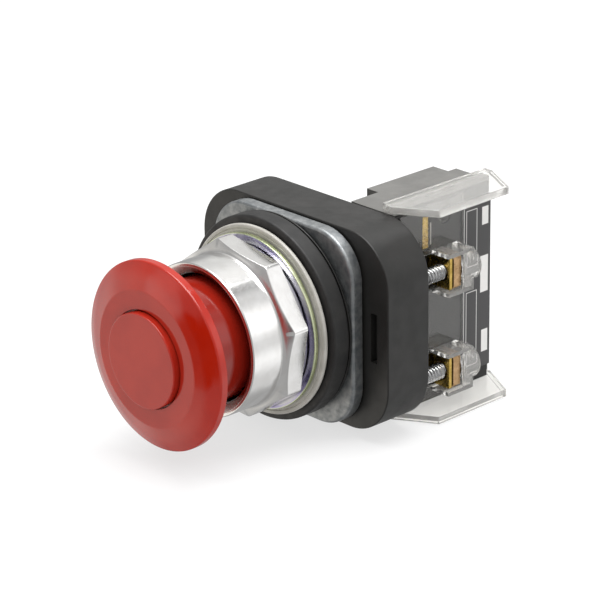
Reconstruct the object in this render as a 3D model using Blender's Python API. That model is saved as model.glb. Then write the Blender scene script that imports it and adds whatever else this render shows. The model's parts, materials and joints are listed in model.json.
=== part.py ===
"""Push-pull emergency stop operator for a 30.5 mm panel hole, with one contact block.

All sizes are in metres. The operator's axis is Y: the mushroom head faces -Y, the contact block
is behind at +Y, and +Z is up. Y = 0 is the plane where the gasket seats on the panel. Every
sub-part is a closed mesh, and neighbours stand GAP apart.
"""
import math

import bmesh
import bpy
from mathutils import Vector

GAP = 0.0003
TRAVEL = 0.0060
FINE, MEDIUM, COARSE = 40, 24, 12

# Mushroom head and the parts that slide with it
HEAD_R = 0.0190
HEAD_FLAT_R = 0.01375
HEAD_FLAT_Y = -0.02965
HEAD_RIM_Y = -0.0275
HEAD_BACK_Y = -0.0257
CAP_R = 0.00955
CAP_FACE_Y = -0.0310
CAP_SEAT_Y = -0.0284
SLEEVE_R = 0.01245
SLEEVE_BORE_R = 0.0102
SLEEVE_END_Y = -0.0095
SHAFT_R = 0.0040
SHAFT_TAIL_R = 0.0030
SHAFT_FRONT_Y = -0.0223
SHAFT_SHOULDER_Y = 0.0083
SHAFT_END_Y = 0.0126
DETENT_Y = 0.0010
FOOT_Y0, FOOT_Y1 = 0.0086, 0.0108
FOOT_HALF_X, FOOT_HALF_Z = 0.0130, 0.0050

# Bushing and mounting nut
BUSH_R = 0.01465
BUSH_BORE_R = 0.0131
BUSH_FRONT_Y = -0.0143
BUSH_BACK_Y = 0.0078
NUT_SIDES = 8
NUT_CORNER_R = 0.0181
NUT_CORNER_DEG = 12.5
NUT_NOSE_R = 0.0156
NUT_MOUTH_Y = -0.0162
NUT_LIP_R, NUT_LIP_Y = 0.0133, -0.0150
NUT_CORNER_Y = -0.0073
NUT_CHAMFER_SLOPE = 0.52
NUT_HEX_BACK_Y = -0.0038
NUT_COLLAR_R = 0.0162
NUT_BACK_Y = -0.0028

# Ring stack: outer radius, inner radius, front Y, back Y
THRUST_WASHER = (0.0179, 0.0152, -0.0025, -0.0015)
TRIM_WASHER = (0.0194, 0.0152, -0.0012, -0.0003)
GASKET = (0.0209, 0.0151, 0.0, 0.0040)
BACKING_RING = (0.0207, 0.0151, 0.0043, 0.0047)

# Die-cast plate and rear housing: centre X, half width, half height, corner radius
PLATE_OUTLINE = (0.0006, 0.0200, 0.0203, 0.00965)
PLATE_Y0, PLATE_Y1 = 0.0050, 0.0078
HOUSING_OUTLINE = (0.0007, 0.02645, 0.02065, 0.01065)
HOUSING_CAVITY = (0.0006, 0.0186, 0.0186, 0.0085)
HOUSING_Y0, HOUSING_Y1 = 0.0081, 0.0193
HOUSING_FLOOR_Y = 0.0173
HOUSING_SLOT_X, HOUSING_SLOT_HALF_Z = 0.0226, 0.0051
PLATE_SCREW_X, PLATE_SCREW_Z = -0.0152, 0.0132
PLATE_SCREW_HEAD_R, PLATE_SCREW_SEAT_Y = 0.0026, 0.0183
BLOCK_SCREW_X, BLOCK_SCREW_Z = 0.0110, 0.0176
SCREW_R, SCREW_HOLE_R = 0.0015, 0.0018
SHAFT_HOLE_R = 0.0051

# Contact block
BLOCK_HALF_Z = 0.02065
BLOCK_WALL_X = 0.0158
BLOCK_X0, BLOCK_X0_FRONT, BLOCK_X1 = 0.0022, 0.0054, 0.0176
BLOCK_Y0, BLOCK_STEP_Y, BLOCK_Y1, BLOCK_LUMP_Y = 0.0196, 0.0270, 0.0458, 0.0481
PLUNGER_X, PLUNGER_Z = 0.0100, -0.0034
PLUNGER_HALF_X, PLUNGER_HALF_Z = 0.0026, 0.0016
PLUNGER_TIP_Y, PLUNGER_END_Y = 0.0111, 0.0354
BRIDGE_Y0, BRIDGE_Y1 = 0.0307, 0.0315
BRIDGE_HALF_X, BRIDGE_HALF_Z = 0.0011, 0.0062
SPRING_COIL_R, SPRING_WIRE_R = 0.0022, 0.00028
SPRING_Y0, SPRING_Y1 = 0.0357, 0.0459

# Terminals: each pair of names with the height of its screw
TERMINALS = (("upper", 0.0071), ("lower", -0.0140))
TERMINAL_X = 0.0202
TERMINAL_HALF_Z = 0.0033
STRIP_Y0, STRIP_Y1 = 0.0296, 0.0304
CLAMP_Y0, CLAMP_Y1 = 0.0307, 0.0328
THREAD_R, THREAD_ROOT_R, THREAD_PITCH = 0.00165, 0.00130, 0.0008
POCKET_X1, POCKET_HALF_Z, POCKET_WALL = 0.0234, 0.00445, 0.0008
POCKET_Y0, POCKET_OPEN_Y, POCKET_Y1, TUBE_END_Y = 0.0286, 0.03305, 0.0357, 0.0376
TUBE_R, TUBE_BORE_R = 0.0035, 0.00285
TERMINAL_HEAD_R = 0.0025

# Clear mouldings and label
COVER_X0, COVER_X1 = 0.0179, 0.0187
COVER_Y0, COVER_Y1, COVER_HALF_Z = 0.0200, 0.0376, 0.0203
GUARD_PLAN = ((0.0139, 0.0198), (0.0165, 0.0190), (0.0252, 0.0242),
              (0.0250, 0.0438), (0.0160, 0.0486), (0.0139, 0.0486))
GUARD_Z0, GUARD_Z1 = 0.02095, 0.0225
LABEL_Y0, LABEL_HALF_Z, LABEL_THICK = 0.0379, 0.0178, 0.0004

COLOURS = {
    "head_red": ((0.45, 0.035, 0.020, 1), 0.0, 0.32),
    "polished_metal": ((0.80, 0.80, 0.79, 1), 1.0, 0.14),
    "passivated_zinc": ((0.60, 0.60, 0.42, 1), 1.0, 0.25),
    "washer_grey": ((0.56, 0.55, 0.52, 1), 0.0, 0.40),
    "black_rubber": ((0.018, 0.017, 0.016, 1), 0.0, 0.60),
    "cast_zinc": ((0.30, 0.31, 0.32, 1), 0.8, 0.50),
    "black_plastic": ((0.045, 0.043, 0.041, 1), 0.0, 0.45),
    "grey_plastic": ((0.11, 0.108, 0.105, 1), 0.0, 0.42),
    "clear_plastic": ((0.75, 0.73, 0.69, 1), 0.0, 0.12),
    "steel": ((0.55, 0.55, 0.55, 1), 1.0, 0.28),
    "brass": ((0.62, 0.42, 0.13, 1), 1.0, 0.30),
    "copper_alloy": ((0.72, 0.45, 0.25, 1), 1.0, 0.32),
    "nylon": ((0.62, 0.61, 0.57, 1), 0.0, 0.40),
    "label": ((0.035, 0.035, 0.037, 1), 0.0, 0.38),
}


def clear_scene():
    for obj in list(bpy.data.objects):
        bpy.data.objects.remove(obj, do_unlink=True)


def material(name):
    if name in bpy.data.materials:
        return bpy.data.materials[name]
    colour, metallic, roughness = COLOURS[name]
    mat = bpy.data.materials.new(name)
    mat.use_nodes = True
    shader = mat.node_tree.nodes["Principled BSDF"]
    shader.inputs["Base Color"].default_value = colour
    shader.inputs["Metallic"].default_value = metallic
    shader.inputs["Roughness"].default_value = roughness
    return mat


def circle(radius, y, count, x=0.0, z=0.0):
    turn = 2 * math.pi / count
    return [(x + radius * math.cos(i * turn), y, z + radius * math.sin(i * turn))
            for i in range(count)]


def rounded_rectangle(outline, y, inset=0.0, arc_steps=6):
    """Points of a rounded rectangle in the plane of the given Y, anticlockwise from +X."""
    centre_x, half_x, half_z, corner = outline
    half_x, half_z, corner = half_x - inset, half_z - inset, corner - inset
    points = []
    for quarter in range(4):
        sign_x = 1 if quarter in (0, 3) else -1
        sign_z = 1 if quarter in (0, 1) else -1
        for step in range(arc_steps + 1):
            angle = math.radians(90 * (quarter + step / arc_steps))
            points.append((centre_x + sign_x * (half_x - corner) + corner * math.cos(angle), y,
                           sign_z * (half_z - corner) + corner * math.sin(angle)))
    return points


def add_skin(bm, loops, ring=False):
    """Join equal-length loops in order: a ring closes on itself, anything else gets end caps."""
    rows = [[bm.verts.new(point) for point in loop] for loop in loops]
    pairs = list(zip(rows, rows[1:]))
    if ring:
        pairs.append((rows[-1], rows[0]))
    for first, second in pairs:
        for i in range(len(first)):
            j = (i + 1) % len(first)
            bm.faces.new((first[i], first[j], second[j], second[i]))
    if not ring:
        bm.faces.new(rows[0])
        bm.faces.new(rows[-1])


def add_lathe(bm, profile, count, ring=True, x=0.0, z=0.0):
    """Turn (radius, y) points about a line parallel to Y."""
    add_skin(bm, [circle(radius, y, count, x, z) for radius, y in profile], ring)


def add_box(bm, x0, x1, y0, y1, z0, z1):
    add_skin(bm, [[(x0, y, z0), (x1, y, z0), (x1, y, z1), (x0, y, z1)] for y in (y0, y1)])


def add_plan(bm, plan, z0, z1):
    """Raise a plan of (x, y) corners from z0 to z1."""
    add_skin(bm, [[(x, y, z) for x, y in plan] for z in (z0, z1)])


def shade(mesh):
    mesh.shade_smooth()
    mesh.set_sharp_from_angle(angle=math.radians(32))


def finish(name, bm, material_name, origin=(0.0, 0.0, 0.0)):
    """Turn a bmesh into a named object with outward faces and its origin where it moves."""
    bmesh.ops.recalc_face_normals(bm, faces=bm.faces)
    large = [face for face in bm.faces if len(face.verts) > 4]
    bmesh.ops.triangulate(bm, faces=large)
    bmesh.ops.translate(bm, verts=bm.verts, vec=-Vector(origin))
    mesh = bpy.data.meshes.new(name)
    bm.to_mesh(mesh)
    bm.free()
    shade(mesh)
    obj = bpy.data.objects.new(name, mesh)
    obj.location = origin
    obj.data.materials.append(material(material_name))
    bpy.context.collection.objects.link(obj)
    return obj


def combine(obj, operation, build):
    """Union or subtract the solids that build() adds, with the exact solver."""
    bm = bmesh.new()
    build(bm)
    tool = finish(obj.name + "_tool", bm, obj.data.materials[0].name)
    modifier = obj.modifiers.new("combine", "BOOLEAN")
    modifier.operation = operation
    modifier.solver = "EXACT"
    modifier.use_self = True
    modifier.object = tool
    bpy.context.view_layer.update()
    evaluated = obj.evaluated_get(bpy.context.evaluated_depsgraph_get())
    mesh = bpy.data.meshes.new_from_object(evaluated)
    obj.modifiers.clear()
    shade(mesh)
    obj.data = mesh
    bpy.data.objects.remove(tool, do_unlink=True)
    return obj


def lathe(name, material_name, profile, count=MEDIUM, ring=True, x=0.0, z=0.0):
    bm = bmesh.new()
    add_lathe(bm, profile, count, ring, x, z)
    return finish(name, bm, material_name, origin=(x, 0.0, z))


def flat_ring(name, material_name, size, edge=0.0):
    """A washer with its two outer edges eased by `edge`."""
    outer, inner, y0, y1 = size
    profile = [(inner, y0), (outer - edge, y0), (outer, y0 + edge),
               (outer, y1 - edge), (outer - edge, y1), (inner, y1)]
    if edge == 0.0:
        profile = [(inner, y0), (outer, y0), (outer, y1), (inner, y1)]
    return lathe(name, material_name, profile, FINE)


# ---------------------------------------------------------------- sliding head assembly

def mushroom_head():
    profile = [
        (0.0020, HEAD_BACK_Y), (0.0020, -0.0272), (0.0040, -0.0272), (0.0040, CAP_SEAT_Y),
        (CAP_R + GAP, CAP_SEAT_Y), (CAP_R + GAP, HEAD_FLAT_Y), (HEAD_FLAT_R, HEAD_FLAT_Y),
        (0.0165, -0.0287), (HEAD_R - 0.0004, HEAD_RIM_Y - 0.0003), (HEAD_R, HEAD_RIM_Y + 0.0003),
        (HEAD_R, HEAD_BACK_Y - 0.0004), (HEAD_R - 0.0005, HEAD_BACK_Y)]
    return lathe("mushroom_head", "head_red", profile, FINE)


def head_centre_cap():
    profile = [(CAP_R, CAP_SEAT_Y - GAP), (CAP_R, CAP_FACE_Y + 0.0003),
               (CAP_R - 0.0004, CAP_FACE_Y)]
    return lathe("head_centre_cap", "head_red", profile, FINE, ring=False)


def head_sleeve():
    front = HEAD_BACK_Y + GAP
    profile = [
        (0.0020, front), (SLEEVE_R, front), (SLEEVE_R, SLEEVE_END_Y), (SLEEVE_BORE_R, SLEEVE_END_Y),
        (SLEEVE_BORE_R, SHAFT_FRONT_Y - GAP), (0.0020, SHAFT_FRONT_Y - GAP)]
    return lathe("head_sleeve", "head_red", profile, FINE)


def head_screw():
    profile = [(0.0012, -0.0279), (0.0012, -0.0283), (0.0032, -0.0283), (0.0035, -0.0280),
               (0.0035, -0.0275), (0.0017, -0.0275), (0.0017, -0.0140)]
    return lathe("head_screw", "steel", profile, COARSE, ring=False)


def plunger_shaft():
    groove = 0.0008
    profile = [(0.0020, -0.0136), (0.0020, SHAFT_FRONT_Y), (0.0090, SHAFT_FRONT_Y),
               (0.0090, SHAFT_FRONT_Y + 0.0020), (SHAFT_R, SHAFT_FRONT_Y + 0.0024)]
    for centre in (DETENT_Y - TRAVEL, DETENT_Y):
        profile += [(SHAFT_R, centre - groove), (SHAFT_R - 0.0005, centre - groove / 2),
                    (SHAFT_R - 0.0005, centre + groove / 2), (SHAFT_R, centre + groove)]
    profile += [(SHAFT_R, SHAFT_SHOULDER_Y), (SHAFT_TAIL_R, SHAFT_SHOULDER_Y),
                (SHAFT_TAIL_R, 0.0110), (0.0025, 0.0110), (0.0025, 0.0119),
                (SHAFT_TAIL_R, 0.0119), (SHAFT_TAIL_R, SHAFT_END_Y)]
    return lathe("plunger_shaft", "steel", profile, 24, ring=False)


def actuator_foot():
    """A bar on the shaft's tail that reaches the contact plungers on both sides."""
    outline = (0.0, FOOT_HALF_X, FOOT_HALF_Z, 0.0020)
    bm = bmesh.new()
    add_skin(bm, [rounded_rectangle(outline, y, arc_steps=3) for y in (FOOT_Y0, FOOT_Y1)])
    foot = finish("actuator_foot", bm, "nylon")
    return combine(foot, "DIFFERENCE", lambda tool: add_lathe(
        tool, [(SHAFT_TAIL_R + GAP, 0.0), (SHAFT_TAIL_R + GAP, 0.0200)], 24, ring=False))


def retaining_clip():
    """An open ring in the shaft's tail groove, with its mouth downwards."""
    bm = bmesh.new()
    inner, outer, y0, y1 = 0.0028, 0.0048, 0.01115, 0.01175
    sections = []
    for step in range(19):
        angle = math.radians(-65 + 310 * step / 18)
        sections.append([(r * math.cos(angle), y, r * math.sin(angle))
                         for r, y in ((inner, y0), (outer, y0), (outer, y1), (inner, y1))])
    add_skin(bm, sections)
    return finish("retaining_clip", bm, "steel")


# ---------------------------------------------------------------- fixed operator parts

def operator_bushing():
    """The threaded barrel: seal groove in front, a web that holds the shaft guide, rear flange."""
    profile = [
        (BUSH_BORE_R, BUSH_FRONT_Y), (BUSH_R - 0.0004, BUSH_FRONT_Y), (BUSH_R, BUSH_FRONT_Y + 0.0004),
        (BUSH_R, 0.0066), (0.0166, 0.0066), (0.0166, BUSH_BACK_Y), (0.0120, BUSH_BACK_Y),
        (0.0120, 0.0030), (0.0082, 0.0030), (0.0082, -0.0026), (BUSH_BORE_R, -0.0026),
        (BUSH_BORE_R, -0.0100), (0.0139, -0.0100), (0.0139, -0.0120), (BUSH_BORE_R, -0.0120)]
    return lathe("operator_bushing", "cast_zinc", profile, FINE)


def nut_radius(angle):
    """Distance from the axis to the nut's flats in one direction."""
    side = 2 * math.pi / NUT_SIDES
    from_corner = (angle - math.radians(NUT_CORNER_DEG)) % side
    return NUT_CORNER_R * math.cos(side / 2) / math.cos(from_corner - side / 2)


def mounting_nut():
    """An octagonal nut with a round nose and a countersunk mouth; a cone scallops its flats."""
    count = NUT_SIDES * 6
    start = math.radians(NUT_CORNER_DEG)
    angles = [start + 2 * math.pi * i / count for i in range(count)]

    def loop(radius, y):
        return [(radius * math.cos(a), y, radius * math.sin(a)) for a in angles]

    def flats(y_of_radius):
        return [(nut_radius(a) * math.cos(a), y_of_radius(nut_radius(a)),
                 nut_radius(a) * math.sin(a)) for a in angles]

    def cone_y(radius):
        return NUT_CORNER_Y - (NUT_CORNER_R - radius) * NUT_CHAMFER_SLOPE

    loops = [
        loop(0.0148, NUT_MOUTH_Y), loop(NUT_NOSE_R - 0.0004, NUT_MOUTH_Y),
        loop(NUT_NOSE_R, NUT_MOUTH_Y + 0.0004), loop(NUT_NOSE_R, cone_y(NUT_NOSE_R)),
        flats(cone_y), flats(lambda radius: NUT_HEX_BACK_Y),
        loop(NUT_COLLAR_R, NUT_HEX_BACK_Y + 0.0003), loop(NUT_COLLAR_R, NUT_BACK_Y),
        loop(BUSH_R + GAP, NUT_BACK_Y), loop(BUSH_R + GAP, BUSH_FRONT_Y - GAP),
        loop(NUT_LIP_R, BUSH_FRONT_Y - GAP), loop(NUT_LIP_R, NUT_LIP_Y)]
    bm = bmesh.new()
    add_skin(bm, loops, ring=True)
    return finish("mounting_nut", bm, "polished_metal")


def wiper_seal():
    profile = [(0.0128, -0.0112), (0.0131, -0.0117), (0.0136, -0.0117),
               (0.0136, -0.0103), (0.0131, -0.0103), (0.0128, -0.0108)]
    return lathe("wiper_seal", "black_rubber", profile, FINE)


def shaft_guide():
    """Plastic guide in the bushing's web, with a groove and two holes for the detent."""
    profile = [(0.0043, -0.0023), (0.0079, -0.0023), (0.0079, 0.0004), (0.0067, 0.0004),
               (0.0067, 0.0016), (0.0079, 0.0016), (0.0079, 0.0033), (0.0095, 0.0033),
               (0.0095, 0.0045), (0.0043, 0.0045)]
    guide = lathe("shaft_guide", "nylon", profile, MEDIUM)

    def ball_hole(bm):
        add_skin(bm, [[(0.0014 * math.cos(a), DETENT_Y + 0.0014 * math.sin(a), z)
                       for a in (math.radians(30 * i) for i in range(12))]
                      for z in (-0.0075, 0.0075)])
    return combine(guide, "DIFFERENCE", ball_hole)


def detent_ball(name, side):
    bm = bmesh.new()
    bmesh.ops.create_uvsphere(bm, u_segments=12, v_segments=8, radius=0.0011)
    bmesh.ops.translate(bm, verts=bm.verts, vec=(0.0, DETENT_Y, side * 0.0055))
    return finish(name, bm, "steel", origin=(0.0, DETENT_Y, side * 0.0055))


def detent_ring_spring():
    """A round wire ring in the guide's groove that presses both balls inwards."""
    wire, mean = 0.00032, 0.0073
    profile = [(mean + wire * math.cos(a), DETENT_Y + wire * math.sin(a))
               for a in (math.radians(60 * i) for i in range(6))]
    return lathe("detent_ring_spring", "steel", profile, MEDIUM)


def die_cast_plate():
    """Rounded plate with a bore for the bushing and a rear recess for the bushing's flange."""
    bm = bmesh.new()
    add_skin(bm, [rounded_rectangle(PLATE_OUTLINE, PLATE_Y0, inset=0.0005),
                  rounded_rectangle(PLATE_OUTLINE, PLATE_Y0 + 0.0005),
                  rounded_rectangle(PLATE_OUTLINE, PLATE_Y1)])
    plate = finish("die_cast_plate", bm, "cast_zinc")

    def holes(tool):
        add_lathe(tool, [(BUSH_R + GAP, 0.0), (BUSH_R + GAP, 0.0063), (0.0169, 0.0063),
                         (0.0169, 0.0120)], FINE, ring=False)
        for side in (-1, 1):
            add_lathe(tool, [(SCREW_HOLE_R, 0.0), (SCREW_HOLE_R, 0.0120)], 12, ring=False,
                      x=PLATE_SCREW_X, z=side * PLATE_SCREW_Z)
    return combine(plate, "DIFFERENCE", holes)


def rear_housing():
    """A cup behind the plate; its back wall carries windows and holes for two contact blocks."""
    ease = 0.0006
    loops = [rounded_rectangle(HOUSING_CAVITY, HOUSING_FLOOR_Y),
             rounded_rectangle(HOUSING_CAVITY, HOUSING_Y0),
             rounded_rectangle(HOUSING_OUTLINE, HOUSING_Y0, inset=ease),
             rounded_rectangle(HOUSING_OUTLINE, HOUSING_Y0 + ease),
             rounded_rectangle(HOUSING_OUTLINE, HOUSING_Y1 - ease / 2),
             rounded_rectangle(HOUSING_OUTLINE, HOUSING_Y1, inset=ease / 2)]
    bm = bmesh.new()
    add_skin(bm, loops)
    housing = finish("rear_housing", bm, "black_plastic")

    def openings(tool):
        wall0, wall1 = HOUSING_FLOOR_Y - 0.001, HOUSING_Y1 + 0.001
        add_lathe(tool, [(SHAFT_HOLE_R, wall0), (SHAFT_HOLE_R, wall1)], MEDIUM, ring=False)
        for side in (-1, 1):
            x = side * PLUNGER_X
            add_box(tool, x - PLUNGER_HALF_X - 0.0004, x + PLUNGER_HALF_X + 0.0004, wall0, wall1,
                    PLUNGER_Z - PLUNGER_HALF_Z - 0.0004, PLUNGER_Z + PLUNGER_HALF_Z + 0.0004)
            slot = HOUSING_OUTLINE[0] + side * HOUSING_SLOT_X
            add_box(tool, slot - 0.00085, slot + 0.00085, HOUSING_Y0 - 0.001, HOUSING_Y0 + 0.0015,
                    -HOUSING_SLOT_HALF_Z, HOUSING_SLOT_HALF_Z)
            recess_r, recess_y = PLATE_SCREW_HEAD_R + GAP, PLATE_SCREW_SEAT_Y - GAP
            add_lathe(tool, [(SCREW_HOLE_R, wall0), (SCREW_HOLE_R, recess_y), (recess_r, recess_y),
                             (recess_r, wall1)], COARSE, ring=False,
                      x=PLATE_SCREW_X, z=side * PLATE_SCREW_Z)
            for x in (-BLOCK_SCREW_X, BLOCK_SCREW_X):
                add_lathe(tool, [(SCREW_HOLE_R, 0.0150), (SCREW_HOLE_R, wall1)], 12, ring=False,
                          x=x, z=side * BLOCK_SCREW_Z)
    return combine(housing, "DIFFERENCE", openings)


def fixing_screw(name, x, z, tip_y, seat_y, head_y, head_r):
    """A screw along Y with its head at the back and a round drive recess."""
    profile = [(SCREW_R, tip_y), (SCREW_R, seat_y), (head_r, seat_y), (head_r, head_y),
               (head_r * 0.45, head_y), (head_r * 0.45, head_y - 0.0008)]
    return lathe(name, "steel", profile, COARSE, ring=False, x=x, z=z)


# ---------------------------------------------------------------- contact block

def contact_block_body():
    plan = [(BLOCK_X0_FRONT, BLOCK_Y0), (BLOCK_X1, BLOCK_Y0), (BLOCK_X1, BLOCK_Y1),
            (0.0156, BLOCK_Y1), (0.0156, BLOCK_LUMP_Y), (0.0064, BLOCK_LUMP_Y),
            (0.0064, BLOCK_Y1), (BLOCK_X0, BLOCK_Y1), (BLOCK_X0, BLOCK_STEP_Y),
            (BLOCK_X0_FRONT, BLOCK_STEP_Y)]
    bm = bmesh.new()
    add_plan(bm, plan, -BLOCK_HALF_Z, BLOCK_HALF_Z)
    block = finish("contact_block_body", bm, "grey_plastic")

    def chambers(tool):
        add_box(tool, 0.0070, BLOCK_WALL_X, 0.0220, 0.0410, -0.0154, 0.0154)
        reach = PLUNGER_HALF_X + 0.0004
        add_box(tool, PLUNGER_X - reach, PLUNGER_X + reach, 0.0190, 0.0225,
                PLUNGER_Z - PLUNGER_HALF_Z - 0.0004, PLUNGER_Z + PLUNGER_HALF_Z + 0.0004)
        add_box(tool, PLUNGER_X - 0.0028, PLUNGER_X + 0.0028, 0.0405, SPRING_Y1 + GAP,
                PLUNGER_Z - 0.0028, PLUNGER_Z + 0.0028)
        add_box(tool, 0.0165, 0.0190, 0.0267, 0.0289, 0.0115, 0.0187)
        for _, height in TERMINALS:
            add_box(tool, 0.0166, 0.0190, 0.0285, 0.0354, height - 0.0040, height + 0.0040)
            slot = TERMINAL_HALF_Z + GAP
            add_box(tool, BLOCK_WALL_X - 0.001, 0.0175, STRIP_Y0 - GAP, STRIP_Y1 + GAP,
                    height - slot, height + slot)

    def screw_holes(tool):
        for side in (-1, 1):
            add_lathe(tool, [(SCREW_HOLE_R, 0.0190), (SCREW_HOLE_R, 0.0460), (0.0026, 0.0460),
                             (0.0026, 0.0490)], COARSE, ring=False,
                      x=BLOCK_SCREW_X, z=side * BLOCK_SCREW_Z)
    combine(block, "DIFFERENCE", chambers)
    return combine(block, "DIFFERENCE", screw_holes)


def contact_plunger():
    """Push rod with a window that carries the contact bridge."""
    bm = bmesh.new()
    add_box(bm, PLUNGER_X - PLUNGER_HALF_X, PLUNGER_X + PLUNGER_HALF_X, PLUNGER_TIP_Y,
            PLUNGER_END_Y, PLUNGER_Z - PLUNGER_HALF_Z, PLUNGER_Z + PLUNGER_HALF_Z)
    rod = finish("contact_plunger", bm, "head_red", origin=(PLUNGER_X, PLUNGER_TIP_Y, PLUNGER_Z))

    def window(tool):
        reach = BRIDGE_HALF_X + GAP
        add_box(tool, PLUNGER_X - reach, PLUNGER_X + reach, BRIDGE_Y0 - GAP, 0.0336,
                PLUNGER_Z - 0.0030, PLUNGER_Z + 0.0030)
    return combine(rod, "DIFFERENCE", window)


def contact_bridge():
    """Flat bridge with a raised contact at each end, facing the fixed contacts."""
    bm = bmesh.new()
    end = BRIDGE_HALF_Z
    for z0, z1, y0 in ((-end, -end + 0.0022, BRIDGE_Y0), (end - 0.0022, end, BRIDGE_Y0),
                       (-end + 0.0022, end - 0.0022, BRIDGE_Y0 + 0.0003)):
        add_box(bm, PLUNGER_X - BRIDGE_HALF_X, PLUNGER_X + BRIDGE_HALF_X, y0, BRIDGE_Y1,
                PLUNGER_Z + z0, PLUNGER_Z + z1)
    bridge = finish("contact_bridge", bm, "copper_alloy", origin=(PLUNGER_X, BRIDGE_Y0, PLUNGER_Z))
    return combine(bridge, "UNION", lambda tool: add_box(
        tool, PLUNGER_X - BRIDGE_HALF_X, PLUNGER_X + BRIDGE_HALF_X, BRIDGE_Y0 + 0.0003, BRIDGE_Y1,
        PLUNGER_Z - end, PLUNGER_Z + end))


def coil_spring(name, x, z, coil_r, wire_r, y0, y1, turns):
    """Round wire wound about a line parallel to Y."""
    steps = 10 * turns
    sections = []
    for step in range(steps + 1):
        angle = 2 * math.pi * turns * step / steps
        outward = Vector((math.cos(angle), 0.0, math.sin(angle)))
        rise = y0 + wire_r + (y1 - y0 - 2 * wire_r) * step / steps
        centre = Vector((x, rise, z)) + outward * coil_r
        sections.append([centre + outward * (wire_r * math.cos(a)) +
                         Vector((0.0, wire_r * math.sin(a), 0.0))
                         for a in (math.radians(72 * i) for i in range(5))])
    bm = bmesh.new()
    add_skin(bm, sections)
    return finish(name, bm, "steel", origin=(x, y1, z))


def fixed_contact(side, height):
    """Terminal strip: a tapped pad outside, and an arm inside that ends under the bridge."""
    pad0, pad1 = height - TERMINAL_HALF_Z, height + TERMINAL_HALF_Z
    inner_x0, inner_x1 = PLUNGER_X - 0.0018, PLUNGER_X + 0.0018
    if side == "upper":
        tip = PLUNGER_Z + 0.0021
        plan = [(inner_x0, tip), (inner_x1, tip), (inner_x1, pad0 + 0.0010), (0.0168, pad0 + 0.0010),
                (0.0168, pad0), (0.0226, pad0), (0.0226, pad1), (0.0168, pad1), (inner_x0, pad1)]
    else:
        tip = PLUNGER_Z - 0.0021
        plan = [(inner_x0, tip), (inner_x0, pad0 + 0.0026), (0.0170, pad0 + 0.0026),
                (0.0170, pad0), (0.0226, pad0), (0.0226, pad1), (0.0170, pad1),
                (0.0170, pad1 - 0.0010), (inner_x1, pad1 - 0.0010), (inner_x1, tip)]
    bm = bmesh.new()
    add_skin(bm, [[(x, y, z) for x, z in plan] for y in (STRIP_Y0, STRIP_Y1)])
    strip = finish("fixed_contact_" + side, bm, "brass")
    return combine(strip, "DIFFERENCE", lambda tool: add_lathe(
        tool, [(THREAD_R + GAP, 0.029), (THREAD_R + GAP, 0.031)], COARSE, ring=False,
        x=TERMINAL_X, z=height))


def saddle_clamp(side, height):
    bm = bmesh.new()
    outline = (TERMINAL_X - 0.0002, 0.0027, TERMINAL_HALF_Z, 0.0005)
    loops = [rounded_rectangle(outline, y, arc_steps=2) for y in (CLAMP_Y0, CLAMP_Y1)]
    add_skin(bm, [[(x, y, z + height) for x, y, z in loop] for loop in loops])
    clamp = finish("saddle_clamp_" + side, bm, "copper_alloy", origin=(TERMINAL_X, CLAMP_Y0, height))
    return combine(clamp, "DIFFERENCE", lambda tool: add_lathe(
        tool, [(THREAD_R + GAP, 0.030), (THREAD_R + GAP, 0.034)], COARSE, ring=False,
        x=TERMINAL_X, z=height))


def terminal_screw(side, height):
    """Pan-head screw from behind, thread crests towards the free tip, slotted head."""
    profile = [(THREAD_ROOT_R - 0.0002, 0.0244)]
    for crest in range(7):
        start = 0.0246 + crest * THREAD_PITCH
        profile += [(THREAD_ROOT_R, start), (THREAD_R, start + THREAD_PITCH / 2)]
    seat = CLAMP_Y1 + GAP
    profile += [(THREAD_ROOT_R, 0.0302), (THREAD_ROOT_R, seat), (TERMINAL_HEAD_R, seat),
                (TERMINAL_HEAD_R, seat + 0.0012), (TERMINAL_HEAD_R - 0.0005, seat + 0.0019)]
    screw = lathe("terminal_screw_" + side, "steel", profile, COARSE, ring=False,
                  x=TERMINAL_X, z=height)
    return combine(screw, "DIFFERENCE", lambda tool: add_box(
        tool, TERMINAL_X - 0.004, TERMINAL_X + 0.004, seat + 0.0010, seat + 0.004,
        height - 0.0004, height + 0.0004))


def contact_strip():
    """Short brass strip seen behind the clear cover, above the upper terminal."""
    bm = bmesh.new()
    add_box(bm, 0.0168, 0.0174, 0.0270, 0.0286, 0.0118, 0.0184)
    return finish("contact_strip", bm, "brass")


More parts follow.
